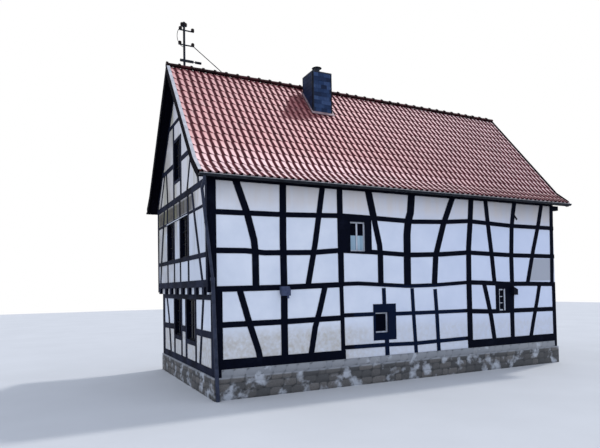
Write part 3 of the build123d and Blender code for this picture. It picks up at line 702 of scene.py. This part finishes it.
def pantiles(name, node, mirrored):
    """One slope's pantiles as one mesh: columns side by side, courses lapped from the eaves up."""
    low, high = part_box(node)
    width = (high.x - low.x) / TILE_COLUMNS
    course = path.length / TILE_COURSES
    steps = range(TILE_STEPS_ACROSS + 1)
    covers = [] if mirrored else [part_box("front_verge_strip"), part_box("chimney_flashing")]
    hollow = [TILE_HOLLOW[0] < tile_place(step, 0) < TILE_HOLLOW[1] for step in steps]
    shadow = [TILE_HOLLOW_TONE if open_below else 0.0 for open_below in hollow]

    def line(left, distance, lift, share):
        """Points across one tile. Under the verge strip and the flashing it stays low."""
        wave = TILE_TAIL_WAVE + (TILE_HEAD_WAVE - TILE_TAIL_WAVE) * share
        points = []
        for step in steps:
            x = left + width * step / TILE_STEPS_ACROSS
            raised = lift + TILE_HEAD_WAVE + wave * tile_height(tile_place(step, share))
            y, z = path.point(distance, raised)
            if any(near.x < x < far.x and near.y < y < far.y for near, far in covers):
                y, z = path.point(distance, min(raised, TILE_LAYER))
            points.append((x, -y if mirrored else y, z))
        return points

    form = Form()
    for row in range(TILE_COURSES):
        tail_lift = TILE_TAIL_LIFT + EAVES_LIFT * (row == 0)
        for column in range(TILE_COLUMNS):
            left = low.x + column * width
            foot = row * course + chance.uniform(-TILE_UNEVENNESS, TILE_UNEVENNESS) * (row > 0)
            head = min((row + 1) * course + TILE_LAP, path.length)
            tone = chance.uniform(*TILE_TONES)
            lines = []
            tones = []
            for level in range(TILE_STEPS_ALONG + 1):
                share = level / TILE_STEPS_ALONG
                lift = TILE_THICKNESS + tail_lift * (1 - share)
                lines.append(line(left, foot + (head - foot) * share, lift, share))
                # Each tile's own tone, darkened by painted shade on its flank and in its trough
                tones.append([tone * tile_shading(tile_place(step, share)) for step in steps])
            form.grid(lines, tones, flipped=mirrored)
            under = line(left, foot, TILE_THICKNESS * (row > 0), 1)
            form.grid([under, lines[0]], [shadow, shadow], smooth=False, flipped=mirrored)
    form.piece(name, tile, node)


def ridge_tiles():
    """Half round ridge tiles that overlap along the ridge, each with a raised collar at its end."""
    low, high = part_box("ridge_capping")
    count = round((high.x - low.x) / RIDGE_TILE_LENGTH)
    length = (high.x - low.x) / count
    centre_z = high.z - RIDGE_TILE_RADIUS - RIDGE_TILE_SPREAD - RIDGE_SINK
    first_turn, last_turn = RIDGE_TURNS
    body = RIDGE_TILE_RADIUS + RIDGE_TILE_SPREAD
    collar_radius = body + RIDGE_COLLAR_RISE
    form = Form()

    def ring(x, radius):
        points = []
        for step in range(RIDGE_STEPS + 1):
            turn = math.pi * (first_turn + (last_turn - first_turn) * step / RIDGE_STEPS)
            points.append((x, -radius * math.cos(turn), centre_z + radius * math.sin(turn)))
        return points

    for number in range(count):
        start = low.x + number * length
        collar_end = start + RIDGE_COLLAR_LENGTH
        tone = chance.uniform(*RIDGE_TONES)
        form.grid([ring(start, RIDGE_TILE_RADIUS), ring(start + length, body)], tone, flipped=True)
        collar = [ring(start, body - RIDGE_COLLAR_SEAT), ring(start, collar_radius),
                  ring(collar_end, body + RIDGE_COLLAR_RISE * RIDGE_COLLAR_TAPER),
                  ring(collar_end, body - RIDGE_COLLAR_SEAT)]
        form.grid(collar, RIDGE_COLLAR_TONE, smooth=False, flipped=True)
    form.sheet(ring(low.x, RIDGE_TILE_RADIUS), RIDGE_COLLAR_TONE)
    form.sheet(ring(high.x, body), RIDGE_COLLAR_TONE)
    form.piece("ridge_tiles", tile, "ridge_capping")


def inset_points(points, normal, distance):
    """A flat outline moved inward by a distance, or None where it has no room for that."""
    count = len(points)
    moved = []
    for index, point in enumerate(points):
        before = (point - points[index - 1]).normalized()
        after = (points[(index + 1) % count] - point).normalized()
        inward = normal.cross(before) + normal.cross(after)
        room = 1 + before.dot(after)
        if room < SMALLEST_ROOM:
            return None
        moved.append(point + inward * distance / room)
    across = normal.orthogonal().normalized()
    flat = [Vector((point.dot(across), point.dot(normal.cross(across)))) for point in moved]
    for index, point in enumerate(moved):
        after = (index + 1) % count
        if (points[after] - points[index]).dot(moved[after] - point) <= 0:
            return None
        for other in range(index + 2, count - (index == 0)):
            end = flat[(other + 1) % count]
            if intersect_line_line_2d(flat[index], flat[after], flat[other], end):
                return None
    return moved


def cushioned_panels(name, node, outward):
    """A wall's plaster panels with softly rounded edges, a little proud at their middle."""
    shape = node_shape(node)
    for face in [face for face in shape.faces if face.normal.dot(outward) > FACING_OUT]:
        corners = [vertex.co.copy() for vertex in face.verts]
        inner = inset_points(corners, outward, PANEL_EDGE)
        narrow = 2 * face.calc_area() / face.calc_perimeter() < SMALLEST_PANEL_WIDTH / 2
        if inner is None or narrow:
            continue
        ring = [shape.verts.new(point + outward * PANEL_BULGE) for point in inner]
        outer = list(face.verts)
        shape.faces.remove(face)
        shape.faces.new(ring)
        for index in range(len(outer)):
            after = (index + 1) % len(outer)
            shape.faces.new((outer[index], outer[after], ring[after], ring[index]))
    mesh = bpy.data.meshes.new(name)
    shape.to_mesh(mesh)
    shape.free()
    mesh.materials.append(plaster)
    made = show(name, mesh)
    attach(made, "root")
    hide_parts(node)


def stone_face(form, area, face, outward):
    """One rough stone that bulges out of its area (start, end, foot, head) of a wall's face."""
    start, end, foot, head = area
    half_length = (end - start - STONE_JOINT) / 2
    half_height = (head - foot - STONE_JOINT) / 2
    length_pinch, height_pinch = STONE_PINCH
    seed = Vector((start * STONE_SEEDS[0], foot * STONE_SEEDS[1], face.x + face.y))
    tone = chance.random()
    rows = []
    for level in range(STONE_STEPS + 1):
        row = []
        for step in range(STONE_STEPS + 1):
            across = 2 * step / STONE_STEPS - 1
            up = 2 * level / STONE_STEPS - 1
            rounding = (1 - across ** 4) * (1 - up ** 4)
            lumps = noise.noise(seed + Vector((across, up, 0)) * STONE_LUMPS)
            rough = 1 - STONE_ROUGHNESS + STONE_ROUGHNESS * lumps
            along = (start + end) / 2 + across * half_length * (1 - length_pinch * abs(up) ** 3)
            height = (foot + head) / 2 + up * half_height * (1 - height_pinch * abs(across) ** 3)
            spot = face + outward * STONE_BULGE * rough * rounding
            row.append((spot.x, along, height) if outward.x else (along, spot.y, height))
        rows.append(row)
    form.grid(rows, tone, flipped=outward.x < 0 or outward.y > 0)


def rubble(side, outward):
    """Stones in rough courses over the outer face of one side of the plinth."""
    form = Form()
    left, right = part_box("plinth_left"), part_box("plinth_right")
    low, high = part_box(f"plinth_{side}")
    face = Vector((high.x if outward.x > 0 else low.x, high.y if outward.y > 0 else low.y, 0))
    if outward.x:
        areas = [(low.y, high.y, 0, high.z)]
    else:
        areas = [(left[0].x, right[1].x, 0, left[1].z), (low.x, high.x, left[1].z, high.z)]
    for start, end, foot, head in areas:
        for bottom, top in uneven(foot, head, STONE_HEIGHTS):
            for near, far in uneven(start, end, STONE_LENGTHS):
                stone_face(form, (near, far, bottom, top), face, outward)
    form.piece(f"{side}_rubble", stone)


def uneven(start, end, sizes):
    """A length cut into uneven pieces, as (start, end) of each."""
    count = max(1, round((end - start) / (sum(sizes) / 2)))
    cuts = [start]
    for number in range(1, count):
        middle = start + (end - start) * number / count
        moved = chance.uniform(-STONE_UNEVENNESS, STONE_UNEVENNESS)
        cuts.append(middle + moved * (end - start) / count)
    cuts.append(end)
    return list(zip(cuts, cuts[1:]))


def chimney_slates():
    """Slates in lapped courses on the stack's four sides, with trims down its corners."""
    low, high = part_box("chimney_stack")
    slates = Form()
    trims = Form()
    foot = path.ridge.y - (high.y - low.y) * math.tan(ROOF_PITCH) - SLATES_BELOW_ROOF
    courses = math.ceil((high.z - foot) / SLATE_COURSE)
    for outward, start, end in chimney_sides(low, high):
        sideways = Vector((-outward.y, outward.x, 0))
        span = (end - start).length
        for course in range(courses):
            bottom = high.z - (course + 1) * SLATE_COURSE
            place = -SLATE_WIDTH / 2 * (course % 2)
            while place < span:
                left, right = max(place, 0), min(place + SLATE_WIDTH, span)
                if right - left > SMALLEST_SLATE:
                    near = start + sideways * (left + SLATE_HALF_JOINT)
                    far = start + sideways * (right - SLATE_HALF_JOINT)
                    one_slate(slates, near, far, bottom, outward)
                place += SLATE_WIDTH
        for corner in (start, end - sideways * TRIM_WIDTH):
            rows = []
            for level in (foot, high.z):
                edge = corner + Vector((0, 0, level)) + outward * (SLATE_TAIL + TRIM_OFF_SLATES)
                rows.append([edge, edge + sideways * TRIM_WIDTH])
            trims.grid(rows, smooth=False)
    slates.piece("chimney_slates", slate)
    trims.piece("chimney_trims", dark_metal)


def one_slate(form, near, far, bottom, outward):
    """A slate between two points of a side's foot line: thin at its head, standing out at its tail."""
    tone = chance.random() * (SHADED_SLATE_SHARE if outward.x < 0 else 1.0)
    tail = outward * (SLATE_TAIL + chance.uniform(0, SLATE_TAIL_UNEVENNESS))
    head = Vector((0, 0, bottom + SLATE_COURSE)) + outward * SLATE_THICKNESS
    under = Vector((0, 0, bottom))
    rows = [[near + under, far + under], [near + under + tail, far + under + tail],
            [near + head, far + head]]
    form.grid(rows, tone, smooth=False)


def chimney_sides(low, high):
    """(outward, start, end) of each side of the stack, going round it."""
    corners = [Vector((low.x, low.y, 0)), Vector((high.x, low.y, 0)),
               Vector((high.x, high.y, 0)), Vector((low.x, high.y, 0))]
    outwards = [OUTWARD[side] for side in ("front", "right", "back", "left")]
    return list(zip(outwards, corners, corners[1:] + corners[:1]))


def cross_bars(side, wood):
    """Cross bars over the panes of one wall's windows."""
    form = Form()
    gable = side in ("left", "right")
    through = Vector((BAR_DEPTH / 2, 0, 0)) if gable else Vector((0, BAR_DEPTH / 2, 0))
    for low, high in solid_boxes(f"{side}_glass"):
        lights = PANE_LIGHTS if gable or low.x > SMALL_WINDOW_START else 1
        for bar in range(1, lights):
            level = low.z + (high.z - low.z) * bar / lights
            form.box(Vector((low.x, low.y, level - BAR_WIDTH / 2)) - through,
                     Vector((high.x, high.y, level + BAR_WIDTH / 2)) + through)
    form.piece(f"{side}_glazing_bars", wood)


def gable_laths():
    """The pale lath over the upper windows of each gable."""
    form = Form()
    start, end = LATH_ALONG
    for side, outward in (("left", -1), ("right", 1)):
        low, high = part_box(f"{side}_upper_frame")
        face = low.x if outward < 0 else high.x
        near, far = sorted((face, face + outward * LATH_REACH))
        form.box((near, start, LATH_LEVEL), (far, end, LATH_LEVEL + LATH_HEIGHT))
    form.piece("gable_laths", pale_paint)


def gutter_brackets():
    """Flat straps round the underside of both gutters."""
    form = Form()
    first_turn, last_turn = BRACKET_TURNS
    for low, high in solid_boxes("gutters"):
        centre_y = (low.y + high.y) / 2
        radius = (high.y - low.y) / 2 + BRACKET_THICKNESS
        margin = BRACKET_SPACING / 4
        count = round((high.x - low.x) / BRACKET_SPACING)
        for place in range(count + 1):
            x = low.x + margin + (high.x - low.x - 2 * margin) * place / count
            rows = []
            for step in range(BRACKET_STEPS + 1):
                turn = math.radians(first_turn + (last_turn - first_turn) * step / BRACKET_STEPS)
                y = centre_y + radius * math.cos(turn)
                z = high.z + radius * math.sin(turn)
                rows.append([(x - BRACKET_WIDTH / 2, y, z), (x + BRACKET_WIDTH / 2, y, z)])
            form.grid(rows)
    form.piece("gutter_brackets", shaded_gutter_zinc)


def gutter_beads():
    """The rolled edge along the outer rim of both gutters."""
    form = Form()
    for low, high in solid_boxes("gutters"):
        rim = low.y + BEAD_RADIUS if low.y < 0 else high.y - BEAD_RADIUS
        ends = [Vector((low.x, rim, high.z)), Vector((high.x, rim, high.z))]
        form.tube(ends, BEAD_RADIUS, BEAD_SIDES)
    form.piece("gutter_beads", bead_metal)


def pipe_clips():
    """Clips that hold the downpipes to the walls at two opposite corners."""
    form = Form()
    for start, end, radius, level in PIPE_CLIPS:
        place = start.lerp(end, (level - start.z) / (end.z - start.z))
        line = (end - start).normalized() * CLIP_HEIGHT / 2
        for turn in (1, -1):
            spot = Vector((place.x * turn, place.y * turn, place.z))
            half = Vector((line.x * turn, line.y * turn, line.z))
            form.tube([spot - half, spot + half], radius + CLIP_THICKNESS, CLIP_SIDES)
            near, far = sorted((spot.y + radius * turn, -WALL_FACE * turn))
            form.box((spot.x - CLIP_THICKNESS, near, spot.z - CLIP_HEIGHT / 2),
                     (spot.x + CLIP_THICKNESS, far, spot.z + CLIP_HEIGHT / 2))
    form.piece("downpipe_clips", pipe_metal)


def insulator_profile():
    """(radius, height) points up an insulator: its sheds, and a closed top."""
    profile = [(INSULATOR_RADIUS, 0.0)]
    for shed in range(SHED_COUNT):
        foot = SHED_START + SHED_SPACING * shed
        profile += [(radius, foot + height) for radius, height in SHED_OUTLINE]
    return profile + INSULATOR_TOP


def mast_fittings():
    """Ribbed sheds round the mast's insulators, and the loop of cable beside it."""
    low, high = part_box("roof_mast")
    top = Vector((MAST_X, (low.y + high.y) / 2, high.z))
    sheds = Form()
    for drop, left, right in MAST_ARMS:
        for tip in (INSULATOR_RADIUS - left, right - INSULATOR_RADIUS):
            sheds.lathe(top + Vector((tip, 0, -drop)), insulator_profile(), SHED_SIDES)
    sheds.piece("mast_insulators", porcelain)
    loop = Form()
    points = []
    for step in range(LOOP_STEPS + 1):
        turn = math.pi * step / LOOP_STEPS
        down = LOOP_DROP + LOOP_HEIGHT * (1 - math.cos(turn)) / 2
        points.append(top + LOOP_OFF_MAST + Vector((-LOOP_WIDTH * math.sin(turn), 0, -down)))
    loop.tube(points, LOOP_RADIUS)
    loop.piece("mast_cable", dark_metal)


def dress(node, material):
    """Give a node that keeps its shape its material."""
    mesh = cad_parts[node].data
    mesh.materials.clear()
    mesh.materials.append(material)


path = RoofPath()

# Materials
timber = timber_finish()
plaster = plaster_finish()
tile = tile_finish()
stone = stone_finish()
slate = slate_finish()
dark_glass = glass_finish("window_glass")
front_glass = glass_finish("front_window_glass", (CURTAIN_ALONG, CURTAIN_HEIGHT))
white_wood = joinery_finish("white_window_wood", paint(164, 168, 178), paint(206, 210, 218),
                            dark_bands=SMALL_WINDOW_DARK_BANDS)
dark_wood = joinery_finish("dark_window_wood", paint(3, 5, 14), paint(14, 18, 30), 0.03)
pale_paint = joinery_finish("pale_lath_paint", paint(170, 174, 182), paint(208, 212, 220))
# The gutters and their brackets are painted near black: painted shade on their zinc
shaded_gutter_zinc = metal_finish("zinc", paint(16, 19, 26), paint(40, 44, 52), 0.1, 0.6)
bead_metal = metal_finish("bright_zinc", paint(138, 142, 146), paint(186, 188, 190), 0.1, 0.5)
verge_metal = metal_finish("pale_verge_sheet", paint(166, 168, 172), paint(212, 210, 212), 0.0,
                           0.6)
pipe_metal = metal_finish("downpipe_metal", paint(32, 38, 54), paint(60, 66, 84), 0.0, 0.6)
dark_metal = metal_finish("dark_metal", paint(14, 18, 28), paint(36, 42, 54), 0.3, 0.5)
cap_metal = metal_finish("chimney_cap_metal", paint(30, 34, 44), paint(62, 66, 76), 0.2, 0.6)
flashing = metal_finish("flashing", paint(120, 98, 102), paint(164, 142, 146), 0.1, 0.55)
lamp_black = metal_finish("lamp_black", paint(1, 2, 12), paint(8, 12, 30), 0.0, 0.8)
lamp_metal = metal_finish("lamp_metal", paint(48, 56, 84), paint(84, 94, 122), 0.1, 0.5)
porcelain = metal_finish("dark_porcelain", paint(20, 16, 18), paint(48, 36, 34), 0.0, 0.25)
dark_boards = board_finish("dark_boarding", paint(2, 2, 10), paint(8, 9, 20))
floor_boards = board_finish("floor_timber", paint(88, 66, 46), paint(134, 104, 74))

# The material of each node, by the first of these words that its name holds
FINISH_OF = {
    "plinth": stone,
    "ground_floor": stone,
    "upper_floor": floor_boards,
    "attic_floor": floor_boards,
    "frame": timber,
    "joist_ends": timber,
    "plate_ends": timber,
    "mast_stay": dark_metal,
    "infill": plaster,
    "roof_front_slope": dark_boards,
    "roof_back_slope": dark_boards,
    "ridge_capping": tile,
    "tiles": tile,
    "barge_boards": dark_boards,
    "verge_strip": verge_metal,
    "eaves_boards": dark_boards,
    "gutters": shaded_gutter_zinc,
    "downpipes": pipe_metal,
    "chimney_stack": slate,
    "chimney_cap": cap_metal,
    "chimney_cowl": cap_metal,
    "chimney_flashing": flashing,
    "roof_mast": dark_metal,
    "front_windows": white_wood,
    "back_windows": white_wood,
    "left_windows": dark_wood,
    "right_windows": dark_wood,
    "front_glass": front_glass,
    "glass": dark_glass,
    "floodlight": lamp_metal,
    "wall_lamp": lamp_black,
}
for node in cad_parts:
    key = next(key for key in FINISH_OF if key in node)
    dress(node, FINISH_OF[key])

# Pieces laid over the nodes
pantiles("front_pantiles", "front_roof_tiles", mirrored=False)
pantiles("back_pantiles", "back_roof_tiles", mirrored=True)
ridge_tiles()
for side, outward in OUTWARD.items():
    for storey in ("lower", "upper"):
        cushioned_panels(f"{side}_{storey}_panels", f"{side}_{storey}_infill", outward)
    rubble(side, outward)
    cross_bars(side, dark_wood if side in ("left", "right") else white_wood)
chimney_slates()
gable_laths()
gutter_brackets()
gutter_beads()
pipe_clips()
mast_fittings()


def make_camera():
    """The camera, well before the left front corner and turned toward the house."""
    data = bpy.data.cameras.new("camera")
    data.sensor_width = SENSOR_WIDTH
    data.lens = CAMERA_LENS
    data.shift_x, data.shift_y = CAMERA_SHIFT
    data.clip_end = FARTHEST_VIEW
    camera = show("camera", data)
    forward = Vector((math.sin(CAMERA_YAW) * math.cos(CAMERA_PITCH),
                      math.cos(CAMERA_YAW) * math.cos(CAMERA_PITCH), math.sin(CAMERA_PITCH)))
    right = Vector((math.cos(CAMERA_YAW), -math.sin(CAMERA_YAW), 0))
    up = right.cross(forward)
    side = right * math.cos(CAMERA_ROLL) + up * math.sin(CAMERA_ROLL)
    top = up * math.cos(CAMERA_ROLL) - right * math.sin(CAMERA_ROLL)
    turn = Matrix((side, top, -forward)).transposed()
    camera.matrix_world = Matrix.Translation(CAMERA_PLACE) @ turn.to_4x4()
    bpy.context.scene.camera = camera


def make_floor():
    """A plain pale floor under the house."""
    finish = Finish("floor", 0.95, 0.1)
    tones = [(0.3, paint(196, 196, 196)), (0.7, paint(201, 201, 201))]
    finish.colour(finish.ramp(finish.noise(0.4, 3), tones))
    reach = FLOOR_REACH
    corners = [(-reach, -reach, 0), (reach, -reach, 0), (reach, reach, 0), (-reach, reach, 0)]
    mesh = bpy.data.meshes.new("floor")
    mesh.from_pydata(corners, [], [(0, 1, 2, 3)])
    mesh.materials.append(finish.material)
    floor = show("floor", mesh)


def make_light():
    """A soft sky all round, a high sun, and a plain white backdrop for the camera and in mirrors."""
    world = bpy.data.worlds.new("studio")
    bpy.context.scene.world = world
    world.use_nodes = True
    tree = world.node_tree
    tree.nodes.clear()
    output = tree.nodes.new("ShaderNodeOutputWorld")
    shown = tree.nodes.new("ShaderNodeBackground")
    shown.inputs["Color"].default_value = (1, 1, 1, 1)
    lit = tree.nodes.new("ShaderNodeBackground")
    lit.inputs["Color"].default_value = SKY_COLOUR
    lit.inputs["Strength"].default_value = SKY_STRENGTH
    ray = tree.nodes.new("ShaderNodeLightPath")
    seen = tree.nodes.new("ShaderNodeMath")
    seen.operation = "ADD"
    tree.links.new(ray.outputs["Is Camera Ray"], seen.inputs[0])
    tree.links.new(ray.outputs["Is Glossy Ray"], seen.inputs[1])
    through = tree.nodes.new("ShaderNodeMath")
    through.operation = "ADD"
    through.use_clamp = True
    tree.links.new(seen.outputs[0], through.inputs[0])
    tree.links.new(ray.outputs["Is Transmission Ray"], through.inputs[1])
    choice = tree.nodes.new("ShaderNodeMixShader")
    tree.links.new(through.outputs[0], choice.inputs[0])
    tree.links.new(lit.outputs[0], choice.inputs[1])
    tree.links.new(shown.outputs[0], choice.inputs[2])
    tree.links.new(choice.outputs[0], output.inputs["Surface"])
    data = bpy.data.lights.new("sun", "SUN")
    data.energy = SUN_ENERGY
    data.angle = SUN_WIDTH
    sun = show("sun", data)
    sun.rotation_mode = "QUATERNION"
    sun.rotation_quaternion = TO_THE_SUN.to_track_quat("Z", "Y")


make_camera()
make_floor()
make_light()
bpy.context.scene.view_settings.view_transform = "Standard"
